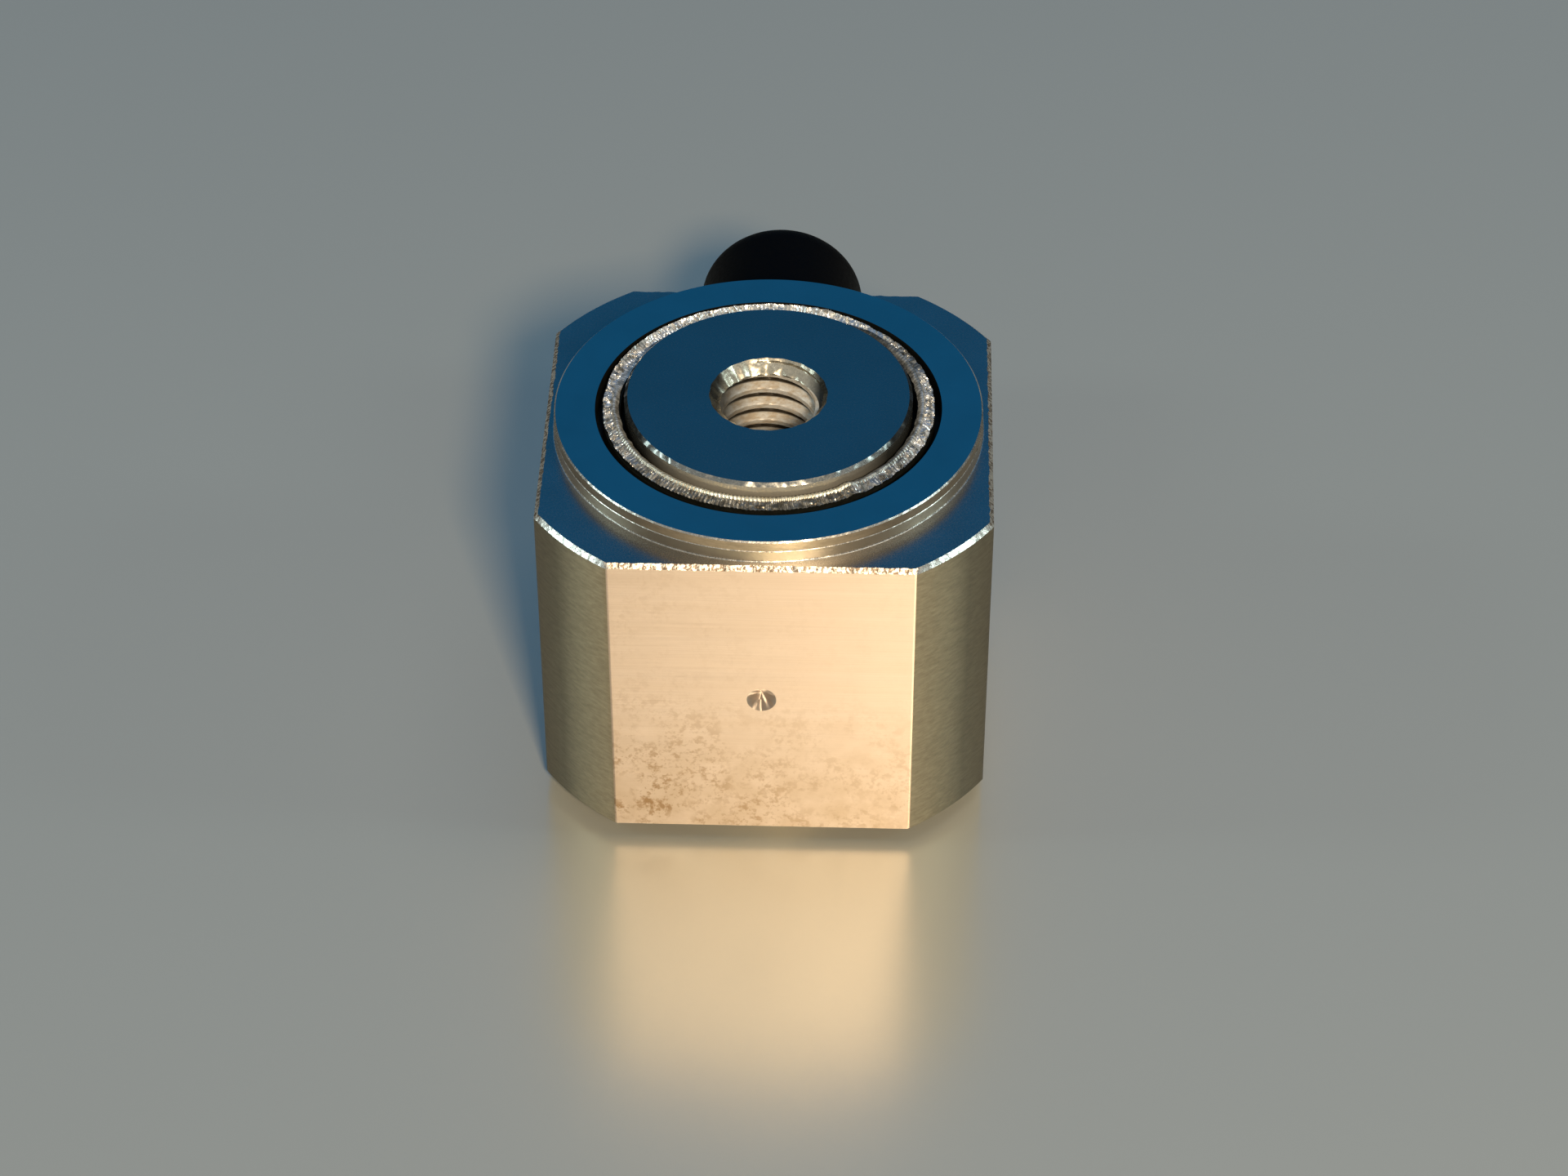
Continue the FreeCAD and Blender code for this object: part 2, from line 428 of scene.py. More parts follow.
def ramp(tree, value, source, target=(0.0, 1.0)):
    """Value spread from one range to another, and kept within the second."""
    made = node(tree, "ShaderNodeMapRange", {
        "Value": value, "From Min": source[0], "From Max": source[1],
        "To Min": target[0], "To Max": target[1],
    })
    return made.outputs["Result"]


def calc(tree, operation, *values):
    """Result of a math operation on one value or two."""
    return node(tree, "ShaderNodeMath", dict(enumerate(values)), operation=operation).outputs[0]


def times(tree, first, *others):
    """Product of values."""
    for other in others:
        first = calc(tree, "MULTIPLY", first, other)
    return first


def blend_colour(tree, factor, first, second):
    """Mix of two colours or colour sockets."""
    inputs = {0: factor}
    for key, colour in ((6, first), (7, second)):
        inputs[key] = (*colour, 1.0) if isinstance(colour, tuple) else colour
    return node(tree, "ShaderNodeMix", inputs, data_type="RGBA").outputs[2]


def shaded(tree, tint, value, start, full, share):
    """Colour that turns to shade, up to a share, as a value goes from start to full."""
    return blend_colour(tree, ramp(tree, value, (start, full), (0.0, share)), tint, SHADE)


def relief(tree, height, depth, under=None):
    """Bump from a height of 0 to 1, with its depth in metres, over another bump if there is one."""
    inputs = {"Height": height, "Distance": depth}
    if under is not None:
        inputs["Normal"] = under
    return node(tree, "ShaderNodeBump", inputs).outputs["Normal"]


def finish_shader(tree, main, colour, roughness, normal):
    """Link the three uneven inputs of a shader."""
    tree.links.new(colour, main.inputs["Base Color"])
    tree.links.new(roughness, main.inputs["Roughness"])
    tree.links.new(normal, main.inputs["Normal"])


# Materials: gloss is a range of roughness, and a shade is where it starts, where it is full and its share

def ground_steel():
    """Flats: ground along the horizontal, with brown stains, most of them in front, low down and left, and
    painted shade that darkens them unevenly towards the bottom.
    """
    dark, light, band = (0.765, 0.655, 0.57), (0.853, 0.753, 0.672), (0.79, 0.66, 0.54)
    low_shade_tint = (0.64, 0.52, 0.40)
    gloss, depth = (0.50, 0.60), 0.004 * MM
    material, tree, main = shader(
        "ground_steel", Metallic=1.0, Anisotropic=0.9, Anisotropic_Rotation=ACROSS_MARKS)
    lines = grain(tree, (0.2, 0.2, 24.0), detail=4.0, rough=0.7)
    bands = grain(tree, (0.05, 0.05, 2.2), detail=2.0)
    tint = blend_colour(tree, ramp(tree, lines, NOISE_RANGE), dark, light)
    tint = blend_colour(tree, ramp(tree, bands, NOISE_RANGE, (0.0, 0.3)), tint, band)
    # shares of stain by place
    low = ramp(tree, spot(tree, "Z"), (7.0, 1.5), (0.10, 1.0))
    left = ramp(tree, spot(tree, "X"), (2.0, -4.6), (0.35, 1.0))
    front = ramp(tree, spot(tree, "Y"), (1.0, -7.5), (0.3, 1.0))
    # wide patches of blots and specks
    patch = ramp(tree, grain(tree, 0.6, detail=2.0), (0.34, 0.54))
    blot = ramp(tree, grain(tree, 2.7, rough=0.65), (0.51, 0.62))
    speck = ramp(tree, grain(tree, 6.5, detail=2.0, rough=0.6), (0.55, 0.66), (0.0, 0.7))
    stain = times(tree, low, left, front, patch, calc(tree, "MAXIMUM", blot, speck))
    # painted shade: darker towards the bottom of the flats, unevenly
    low_shade = times(tree, low, ramp(tree, grain(tree, 0.9), (0.35, 0.65), (0.4, 0.9)))
    tint = blend_colour(tree, low_shade, tint, low_shade_tint)
    tint = blend_colour(tree, stain, tint, STAIN)
    finish_shader(tree, main, tint, ramp(tree, lines, NOISE_RANGE, gloss), relief(tree, lines, depth))
    return material


def turned_steel(name, metal, dark, light, gloss, spread, marks, depth, side_shade=0.0, front=None):
    """Turned faces: marks round the axis, seen as lines at one height, so many to a millimetre.

    The share that isn't metal stands for the light that the marks scatter. Side shade is the share of
    painted shade towards the side flats, where less light falls from the front. Front is a shade
    along Y, behind the lit front.
    """
    side_shade_range = (7.8, 6.3)
    material, tree, main = shader(
        name, Metallic=metal, Anisotropic=spread, Anisotropic_Rotation=ACROSS_MARKS)
    lines = grain(tree, (0.12, 0.12, marks), rough=0.6)
    fleck = grain(tree, (2.5, 2.5, 9.0), detail=4.0, rough=0.7)
    tint = blend_colour(tree, ramp(tree, fleck, NOISE_RANGE), dark, light)
    if front:
        tint = shaded(tree, tint, spot(tree, "Y"), *front)
    # painted shade, darker towards the side flats
    if side_shade:
        from_side = calc(tree, "ABSOLUTE", spot(tree, "Y"))
        tint = blend_colour(tree, ramp(tree, from_side, side_shade_range, (0.0, side_shade)), tint, BLACK)
    finish_shader(tree, main, tint, ramp(tree, lines, NOISE_RANGE, gloss), relief(tree, lines, depth))
    return material


def edge_steel(name, metal, dark, light, gloss, waves, depth, grit_depth, front=None, ends=None):
    """Chamfers: bright and a little wavy, with so many waves to a millimetre, and fine grit.

    Front is a shade along Y, behind the lit front, and ends is one to both sides along X.
    """
    grit_waves, grit_range = 16.0, (0.35, 0.6)
    material, tree, main = shader(name, Metallic=metal)
    swell = grain(tree, waves, detail=2.0)
    grit = grain(tree, grit_waves, detail=2.0)
    tint = blend_colour(tree, ramp(tree, grit, grit_range), dark, light)
    if front:
        tint = shaded(tree, tint, spot(tree, "Y"), *front)
    if ends:
        tint = shaded(tree, tint, calc(tree, "ABSOLUTE", spot(tree, "X")), *ends)
    normal = relief(tree, grit, grit_depth, relief(tree, swell, depth))
    finish_shader(tree, main, tint, ramp(tree, grit, NOISE_RANGE, gloss), normal)
    return material


def filed_steel():
    """Filed edge on top of a flat: teeth with painted cream glints, and painted shade in the dark gaps
    between them.
    """
    dark, light = (0.28, 0.21, 0.15), (1.0, 0.94, 0.84)
    gloss, depth = (0.5, 0.38), 0.02 * MM
    material, tree, main = shader("filed_steel", Metallic=1.0)
    marks = grain(tree, (10.0, 10.0, 0.5), detail=2.0, rough=0.7)
    # painted glints on the teeth and painted shade in the gaps between them
    tint = blend_colour(tree, ramp(tree, marks, (0.43, 0.56)), dark, light)
    finish_shader(tree, main, tint, ramp(tree, marks, NOISE_RANGE, gloss), relief(tree, marks, depth))
    return material


def faced_steel(name, dark, light, gloss):
    """Fine-turned and lapped faces, nearly a mirror, with faint marks."""
    speck_waves, cloud_waves, depth = 14.0, 0.4, 0.001 * MM
    material, tree, main = shader(name, Metallic=1.0)
    speck = grain(tree, speck_waves, detail=2.0)
    cloud = grain(tree, cloud_waves)
    tint = blend_colour(tree, ramp(tree, cloud, NOISE_RANGE), dark, light)
    finish_shader(tree, main, tint, ramp(tree, speck, NOISE_RANGE, gloss), relief(tree, speck, depth))
    return material


def seam_turn(tree):
    """Turn of a place about the force axis, within half a turn either way."""
    return calc(tree, "ARCTAN2", spot(tree, "Y"), spot(tree, "X"))


def last_stretch(tree):
    """Share of the seam's last stretch at a place, from 0 to 1."""
    turn = seam_turn(tree)
    end = seam_end - 2 * math.pi
    begun = ramp(tree, turn, (end - calm_reach, end - calm_reach / 2))
    return times(tree, begun, ramp(tree, turn, (end + calm_end, end)))


def shaded_stretches(tree):
    """Share of painted shade on the seam's two shaded stretches at a place."""
    turn = seam_turn(tree)
    shares = []
    for middle in shade_turns:
        away = calc(tree, "ABSOLUTE", calc(tree, "SUBTRACT", turn, middle))
        shares.append(ramp(tree, away, (shade_reach, shade_reach / 2), (0.0, shade_share)))
    return calc(tree, "MAXIMUM", *shares)


def ridge_steel():
    """Ridge on the inner side of the seam: a painted cream highlight along the last stretch, at the front,
    and painted shade at the back.
    """
    grey, white = (0.42, 0.42, 0.39), (1.0, 1.0, 0.96)
    cream, pale_cream = (0.88, 0.80, 0.60), (1.0, 0.97, 0.84)
    back_shade = (2.8, 3.8, 0.85)
    gloss, depth, swell_depth = (0.28, 0.38), 0.012 * MM, 0.03 * MM
    material, tree, main = shader("ridge_steel", Metallic=0.7)
    swell = grain(tree, 1.5, detail=2.0)
    flakes = grain(tree, 5.0, detail=2.0)
    share = ramp(tree, flakes, (0.38, 0.6))
    plain = blend_colour(tree, share, grey, white)
    bright = blend_colour(tree, share, cream, pale_cream)
    # painted highlight: cream along the last stretch, which faces the front
    tint = blend_colour(tree, last_stretch(tree), plain, bright)
    tint = blend_colour(tree, shaded_stretches(tree), tint, SHADE)
    tint = shaded(tree, tint, spot(tree, "Y"), *back_shade)
    normal = relief(tree, flakes, depth, relief(tree, swell, swell_depth))
    finish_shader(tree, main, tint, ramp(tree, flakes, NOISE_RANGE, gloss), normal)
    return material


def weld_steel():
    """Weld metal: facets of many greys, a painted warm bronze reflection along the last stretch at the
    front, and a painted glint at the back.
    """
    grey, white, glint = (0.30, 0.31, 0.30), (1.0, 1.0, 1.0), (1.0, 1.0, 0.97)
    dark_bronze, bronze = (0.15, 0.13, 0.10), (0.44, 0.39, 0.31)
    facet_range, bronze_range = (0.34, 0.56), (0.36, 0.62)
    back, glint_share = (3.2, 4.2), 0.7
    gloss, depth = (0.40, 0.20), 0.035 * MM
    material, tree, main = shader("weld_steel", Metallic=0.75)
    flakes = grain(tree, 4.0, detail=1.0, rough=0.5)
    plain = blend_colour(tree, ramp(tree, flakes, facet_range), grey, white)
    # painted reflection: darker, warm bronze along the last stretch, which lies at the front
    warm_reflection = blend_colour(tree, ramp(tree, flakes, bronze_range), dark_bronze, bronze)
    tint = blend_colour(tree, last_stretch(tree), plain, warm_reflection)
    tint = blend_colour(tree, shaded_stretches(tree), tint, SHADE)
    # painted glint, whiter towards the back
    tint = blend_colour(tree, ramp(tree, spot(tree, "Y"), back, (0.0, glint_share)), tint, glint)
    finish_shader(tree, main, tint, ramp(tree, flakes, facet_range, gloss), relief(tree, flakes, depth))
    return material


def thread_steel():
    """Hole in the force cap: dull and warm, with a tap's marks, painted shade in its roots and on its left
    side.
    """
    dark, light, root_shade = (0.74, 0.64, 0.51), (1.0, 1.0, 0.97), (0.03, 0.022, 0.012)
    left_shade = (-0.6, -1.6, 0.9)
    gloss, depth = (0.55, 0.42), 0.02 * MM
    material, tree, main = shader("thread_steel", Metallic=0.35)
    marks = grain(tree, (2.2, 2.2, 7.0), rough=0.7)
    tint = blend_colour(tree, ramp(tree, marks, (0.38, 0.6)), dark, light)
    # painted shade in the thread's roots
    radius = node(tree, "ShaderNodeVectorMath", {0: place(tree, (1, 1, 0))}, operation="LENGTH")
    root = ramp(tree, radius.outputs["Value"], [part / MM for part in thread_shade])
    tint = blend_colour(tree, root, tint, root_shade)
    tint = shaded(tree, tint, spot(tree, "X"), *left_shade)
    finish_shader(tree, main, tint, ramp(tree, marks, NOISE_RANGE, gloss), relief(tree, marks, depth))
    return material


def jack_steel():
    """Shell of the jack: turned steel, with painted shade in the roots of its thread."""
    dark, light, root_shade = (0.46, 0.43, 0.38), (0.62, 0.58, 0.51), (0.07, 0.062, 0.05)
    gloss, depth = (0.22, 0.32), 0.006 * MM
    material, tree, main = shader("jack_steel", Metallic=1.0)
    marks = grain(tree, (2.0, 9.0, 2.0), rough=0.65)
    tint = blend_colour(tree, ramp(tree, marks, (0.36, 0.64)), dark, light)
    # painted shade from below the crests down to the roots, but not on the faces inside them
    below_crest, inside_root = 0.12, (0.06, 0.02)
    inputs = {0: place(tree, (1, 0, 1)), 1: (0, 0, connector_level / MM)}
    radius = node(tree, "ShaderNodeVectorMath", inputs, operation="DISTANCE").outputs["Value"]
    crest, root = jack_radius / MM, jack_root_radius / MM
    shade = ramp(tree, radius, (crest - below_crest, root))
    outside = ramp(tree, radius, [root - part for part in inside_root])
    tint = blend_colour(tree, times(tree, shade, outside), tint, root_shade)
    finish_shader(tree, main, tint, ramp(tree, marks, NOISE_RANGE, gloss), relief(tree, marks, depth))
    return material


def moulded(name, dark, light, gloss, waves, depth, **settings):
    """Moulded, drawn or cut material: two close colours, uneven gloss and a faint texture."""
    material, tree, main = shader(name, **settings)
    texture = grain(tree, waves, detail=4.0)
    tint = blend_colour(tree, texture, dark, light)
    finish_shader(tree, main, tint, ramp(tree, texture, NOISE_RANGE, gloss), relief(tree, texture, depth))
    return material


steel_flat = ground_steel()
steel_filed = filed_steel()
steel_thread = thread_steel()
steel_ridge = ridge_steel()
steel_weld = weld_steel()
steel_jack = jack_steel()
# turned faces: corners, the shoulder's upper wall, bores, grooves in painted shade and the disc's wall
# the corners have painted shade towards the side flats
steel_side = turned_steel(
    "turned_steel", metal=0.72, dark=(0.34, 0.30, 0.215), light=(0.51, 0.45, 0.325),
    gloss=(0.40, 0.50), spread=0.5, marks=24.0, depth=0.004 * MM, side_shade=0.66)
steel_wall = turned_steel(
    "shoulder_steel", metal=0.5, dark=(0.38, 0.32, 0.235), light=(0.52, 0.44, 0.33),
    gloss=(0.40, 0.5), spread=0.3, marks=5.0, depth=0.012 * MM, front=(-7.4, -6.2, 0.6))
steel_bore = turned_steel(
    "bore_steel", metal=1.0, dark=(0.84, 0.72, 0.58), light=(0.98, 0.88, 0.76),
    gloss=(0.38, 0.50), spread=0.6, marks=12.0, depth=0.008 * MM)
# near black: painted shade in the grooves and hollows beside the weld
steel_groove_shade = turned_steel(
    "groove_shade_steel", metal=0.8, dark=(0.022, 0.026, 0.022), light=(0.05, 0.052, 0.045),
    gloss=(0.40, 0.50), spread=0.3, marks=12.0, depth=0.006 * MM)
steel_mirror = turned_steel(
    "mirror_steel", metal=0.5, dark=(0.58, 0.55, 0.48), light=(0.68, 0.64, 0.56),
    gloss=(0.14, 0.22), spread=0.0, marks=12.0, depth=0.001 * MM, front=(-5.0, -2.8, 0.92))
# chamfers: of the housing, with its shoulder's root, of the loaded disc and of its hole
steel_edge = edge_steel(
    "edge_steel", metal=1.0, dark=(0.74, 0.70, 0.62), light=(0.92, 0.89, 0.82),
    gloss=(0.22, 0.32), waves=1.6, depth=0.05 * MM, grit_depth=0.003 * MM)
steel_rim = edge_steel(
    "rim_steel", metal=1.0, dark=(0.47, 0.47, 0.44), light=(0.57, 0.57, 0.53),
    gloss=(0.20, 0.28), waves=0.8, depth=0.28 * MM, grit_depth=0.0004 * MM, front=(-4.2, -2.4, 0.8))
steel_sink = edge_steel(
    "sink_steel", metal=0.9, dark=(0.74, 0.68, 0.54), light=(0.90, 0.83, 0.67),
    gloss=(0.26, 0.32), waves=2.4, depth=0.03 * MM, grit_depth=0.0002 * MM, ends=(1.3, 1.8, 0.93))
# faced and lapped: the shoulder's top, ledges, the shoulder's lower wall and the loaded disc
steel_top = faced_steel("faced_steel", (0.60, 0.58, 0.55), (0.66, 0.64, 0.61), gloss=(0.12, 0.18))
steel_ledge = faced_steel("ledge_steel", (0.48, 0.46, 0.43), (0.55, 0.53, 0.50), gloss=(0.22, 0.30))
steel_polish = faced_steel("polished_steel", (0.40, 0.355, 0.285), (0.48, 0.435, 0.36), gloss=(0.38, 0.48))
steel_disc = faced_steel("lapped_steel", (0.44, 0.41, 0.38), (0.48, 0.45, 0.42), gloss=(0.2, 0.28))
vinyl = moulded(
    "black_vinyl", (0.0008, 0.0009, 0.0013), (0.002, 0.0022, 0.003), gloss=(0.5, 0.65), waves=6.0,
    depth=0.008 * MM, Specular_IOR_Level=0.06)
# inner pieces
gilt = moulded(
    "gilt_metal", (0.83, 0.62, 0.28), (0.90, 0.72, 0.38), gloss=(0.18, 0.3), waves=4.0,
    depth=0.004 * MM, Metallic=1.0)
insulator = moulded(
    "insulator", (0.86, 0.85, 0.81), (0.92, 0.91, 0.88), gloss=(0.35, 0.5), waves=4.0, depth=0.004 * MM)
crystal = moulded(
    "crystal", (0.80, 0.83, 0.84), (0.90, 0.92, 0.92), gloss=(0.1, 0.2), waves=4.0, depth=0.004 * MM)


# Pieces

def make_housing():
    """Body with flats, foot, shoulder, weld lip, cavity, dimple and connector seat."""
    web_seat = web_bottom - web_clearance
    root_centre = (shoulder_radius + shoulder_root, body_top + shoulder_root)
    band_level = body_top + band_height
    band_radius = shoulder_radius - band_step
    # each step: radius, level, material slot of the band that follows, and the filed edge
    flat, side, top, bore, edge, wall, groove, ledge, polish, filed = range(10)
    steps = [
        (0, 0, ledge),
        (foot_radius - foot_chamfer, 0, edge),
        (foot_radius, foot_chamfer, side),
        (foot_radius, foot_height, ledge),
        (body_radius - body_bottom_chamfer, foot_height, side),
        (body_radius, foot_height + body_bottom_chamfer, side),
        (body_radius, body_top - body_top_chamfer, edge, "down"),
        (body_radius - body_top_chamfer, body_top, ledge, "in"),
        (shoulder_radius + shoulder_root, body_top, edge),
    ]
    steps += [(*point, edge) for point in arc_points(root_centre, shoulder_root, 270, 180)]
    # the wall above the root is polished up to its step
    steps[-1] = (*steps[-1][:2], polish)
    steps += [
        (shoulder_radius, band_level - band_step, edge),
        (band_radius, band_level, wall),
        (band_radius, shoulder_top - shoulder_chamfer, edge),
        (band_radius - shoulder_chamfer, shoulder_top, top),
        (groove_radius, shoulder_top, groove),
        (groove_radius, web_top, groove),
        (lip_radius, web_top, groove),
        (lip_radius, lip_top, groove),
        (lip_radius - lip_thickness, lip_top, bore),
        (lip_radius - lip_thickness, web_seat, bore),
        (cavity_radius, web_seat, bore),
        (cavity_radius, crystal_seat, bore),
        (0, crystal_seat, bore),
    ]
    # points of a quarter, and the slots that change where a band lies on a flat
    quarter_cells = flat_cells + 1 + corner_cells + 1
    on_flats = {side: flat, edge: filed}

    def band_slot(band, step):
        slot = steps[band][2]
        beyond = min(steps[band][0], steps[band + 1][0]) > flat_distance
        on_flat = step % quarter_cells < flat_cells
        return on_flats.get(slot, slot) if beyond and on_flat else slot

    rings = [block_ring(step[0], step[1], *step[3:]) for step in steps]
    materials = [
        steel_flat, steel_side, steel_top, steel_bore, steel_edge, steel_wall, steel_groove_shade,
        steel_ledge, steel_polish, steel_filed,
    ]
    housing = skinned("housing_body", rings, materials, band_slot)
    return cut_away(housing, [make_seat_cutter(), make_dimple_cutter(), make_base_cutter()])


def make_seat_cutter():
    """Stepped bore in the back flat for the jack's spigot and the insulator's nose."""
    inside = cavity_radius - seat_reach
    steps = [
        (0, inside), (nose_radius, inside), (nose_radius, spigot_start),
        (spigot_radius, spigot_start), (spigot_radius, body_radius), (0, body_radius),
    ]
    rings = [round_ring(radius, level, seat_cells) for radius, level in steps]
    return along_connector(skinned("seat_cutter", rings, [steel_bore]))


def make_dimple_cutter():
    """Small drilled cone in the front flat, with the drill's chatter marks."""
    front = -flat_distance
    outside = front - dimple_depth
    # rings of the cone down to its tip: share of its radius, and count, swing and phase of its marks
    cone = [(0.7, 7, 0.14, 3), (0.4, 5, 0.24, 4), (0, 0, 0, 0)]
    steps = [(0, outside), (dimple_radius, outside), (dimple_radius, front)]
    rings = [round_ring(radius, level, dimple_cells) for radius, level in steps]
    for share, count, swing, phase in cone:
        ring = round_ring(dimple_radius * share, front + dimple_depth * (1 - share), dimple_cells)
        marked = []
        for step, (x, y, z) in enumerate(ring):
            uneven = 1 + swing * math.sin(2 * math.pi * count * step / dimple_cells + phase)
            marked.append((x * uneven, y * uneven, z))
        rings.append(marked)
    return along_connector(skinned("dimple_cutter", rings, [steel_flat]))


def make_base_cutter():
    """Threaded, countersunk hole up into the foot."""
    base_hole = crystal_seat - drill_web - drill_tip

    def radius_at(level, turn, share):
        return max(tapped_radius(share, base_hole - level), countersink_radius - level)

    rows = threaded_rows(-countersink_depth, base_hole, thread_pitch, radius_at)
    rings = [[(0, 0, -countersink_depth)]] + rows + [[(0, 0, base_hole + drill_tip)]]
    return skinned("base_cutter", rings, [steel_flat])


def make_force_cap():
    """Loaded disc with its threaded hole, plunger, web and weld lip."""
    disc_radius = lip_bore - disc_gap
    hole_floor = stack_top + drill_web + drill_tip
    # each step: radius, level and material slot of the band that follows
    disc, bore, rim, mirror, groove, thread, sink = range(7)
    steps = [
        (0, stack_top, bore),
        (crystal_radius - plunger_chamfer, stack_top, bore),
        (crystal_radius, stack_top + plunger_chamfer, bore),
        (crystal_radius, web_bottom, bore),
        (cap_lip_radius, web_bottom, bore),
        (cap_lip_radius, lip_top, groove),
        (lip_bore, lip_top, groove),
        (lip_bore, web_top, groove),
        (disc_radius, web_top, groove),
        (disc_radius, lip_top, mirror),
        (disc_radius, disc_top - disc_chamfer, rim),
        (disc_radius - disc_chamfer, disc_top, disc),
    ]

    def radius_at(level, turn, share):
        depth = disc_top - level
        angle = 2 * math.pi * turn
        fade = min(1.0, chatter_start + depth / countersink_depth)
        swing = math.asin(math.sin(angle * chatter_count)) * 2 / math.pi
        uneven = 1 + noise.noise(heading(angle) * chatter_waves)
        sink_radius = countersink_radius - depth + chatter_depth * fade * uneven * swing
        return max(tapped_radius(share, level - hole_floor), sink_radius)

    rings = [round_ring(radius, level, thread_cells) for radius, level, _ in steps]
    rings += threaded_rows(hole_floor, disc_top, thread_pitch, radius_at)[::-1]
    rings.append([(0, 0, hole_floor - drill_tip)])

    def band_slot(band, step):
        if band < len(steps):
            return steps[band][2]
        level = rings[band][0][2]
        return sink if level > disc_top - countersink_depth else thread

    materials = [
        steel_disc, steel_bore, steel_rim, steel_mirror, steel_groove_shade, steel_thread, steel_sink,
    ]
    return skinned("force_cap_threaded", rings, materials, band_slot)


def weld_crown(across, lean):
    """Height of the seam as a share of its whole, across it from its inner side to its outer.

    A narrow ridge stands near the inner side, and a shelf falls gently from it to the outer.
    Where the seam leans, it rises to its outer side instead.
    """
    if across < ridge_place:
        height = inner_share + (1 - inner_share) * math.sin(math.pi / 2 * across / ridge_place)
    elif across < shelf_place:
        fall = 0.5 - 0.5 * math.cos(math.pi * (across - ridge_place) / (shelf_place - ridge_place))
        height = 1 - (1 - shelf_share) * fall
    else:
        beyond = (across - shelf_place) / (1 - shelf_place)
        height = shelf_share - (shelf_share - outer_share) * beyond
    rising = lean_low + (lean_top - lean_low) * across ** 3
    return height + (rising - height) * lean


def seam_lean(turn):
    """Share of the seam's lean at a turn, from 0 to 1."""
    return clamp((math.cos(turn - lean_turn) - lean_start) / (lean_full - lean_start))


def seam_smooth(turn):
    """Smoothness of the seam at a turn, from 0 to 1: it grows along the last stretch, up to the lump."""
    before_end = seam_end - turn
    if before_end < 0:
        return max(0.0, 1 + before_end / calm_end)
    return clamp(2 * (1 - before_end / calm_reach))


def weld_facet(point):
    """Height of the weld metal's facets at a point in millimetres.

    Each cell of a Voronoi pattern is a plane of its own tilt.
    """
    centre = noise.voronoi(point * facet_count)[1][0]
    tilt = noise.cell_vector(centre) - Vector((0.5, 0.5, 0.5))
    return facet_slope * tilt.dot(point - centre / facet_count) * MM


def seam_point(across, rough, turn):
    """Point of the seam's surface across it and at a turn, with a share of its facets."""
    smooth = seam_smooth(turn)
    around = heading(turn)
    waver = noise.noise(around * waver_waves * lip_radius / MM)
    edge = waver_width * (0.5 - 0.5 * math.cos(turn - seam_end) + waver)
    teeth = noise.noise(around * teeth_waves * lip_radius / MM)
    out = lip_bore + (lip_radius - lip_bore) * across
    out += edge * (0.5 - across)
    out += teeth_width * max(0.0, across - 0.5) * teeth
    rise = rough * (1 - calm_share * smooth) * weld_facet(around * out / MM)
    rise += ripple_height * (1 + smooth) * math.sin(turn * ripple_count)
    rise += lump_height * math.exp(-((turn - seam_end) * out / lump_reach) ** 2)
    up = lip_top + (weld_top - lip_top) * weld_crown(across, seam_lean(turn)) + rise
    return (out * around.x, out * around.y, up)


def make_weld_bead():
    """Seam on the two lips, with the ripples and facets of weld metal and a lump where it ends."""
    turns = [2 * math.pi * cell / seam_cells for cell in range(seam_cells)]
    rings = []
    for step in range(crown_cells + 1):
        across = step / crown_cells
        # the facets start beside the ridge and are flatter at the outer edge
        inside, outside = step - ridge_cells, crown_cells - step
        rough = min(1.0, max(0.0, inside / fade_cells), facet_edge + outside / fade_cells)
        rings.append([seam_point(across, rough, turn) for turn in turns])
    # down both sides to the lips, and closed underneath
    rings.append([(x, y, lip_top) for x, y, _ in rings[-1]])
    rings.insert(0, [(x, y, lip_top) for x, y, _ in rings[0]])
    rings.append(rings[0])
    metal, groove, ridge = range(3)

    def band_slot(band, step):
        if band < 1 or band > crown_cells:
            return groove
        return ridge if band <= ridge_cells else metal

    return skinned("weld_seam", rings, [steel_weld, steel_groove_shade, steel_ridge], band_slot)


def make_connector_body():
    """Shell of the jack with its outer thread."""
    relief_end = collar_end + relief_length
    steps = [
        (socket_radius, jack_end), (socket_radius, spigot_start), (spigot_radius, spigot_start),
        (spigot_radius, flat_distance), (collar_radius, flat_distance), (collar_radius, collar_end),
        (jack_root_radius, collar_end), (jack_root_radius, relief_end),
    ]
    rings = [round_ring(radius, level, thread_cells) for radius, level in steps]

    def radius_at(level, turn, share):
        wall = jack_root_radius + (jack_radius - jack_root_radius) * share
        ends = min(level - relief_end, jack_end - jack_lead_chamfer - level)
        outer = jack_radius + min(0, ends)
        return max(jack_root_radius, min(wall, outer))

    rings += threaded_rows(relief_end, jack_end, jack_pitch, radius_at)
    rings.append(rings[0])
    return along_connector(skinned("jack_shell", rings, [steel_jack]))


def make_protective_cap():
    """Thin-walled push-on cap with a rounded end."""
    bore = cap_radius - cap_wall
    round_start = cap_end - cap_end_radius
    inner_end = cap_end_radius - cap_wall
    steps = [(0, cap_end - cap_wall), (bore - inner_end, cap_end - cap_wall)]
    steps += arc_points((bore - inner_end, round_start), inner_end, 90, 0)
    steps += [(bore, collar_end + cap_mouth_chamfer), (bore + cap_mouth_chamfer, collar_end)]
    steps += [(cap_radius, collar_end), (cap_radius, round_start)]
    crown = (cap_radius - cap_end_radius, round_start)
    steps += arc_points(crown, cap_end_radius, 0, 90, cap_arc_cells)
    steps += [(0, cap_end)]
    rings = [round_ring(radius, level, cap_cells) for radius, level in steps]
    return along_connector(skinned("push_on_cap", rings, [vinyl]))


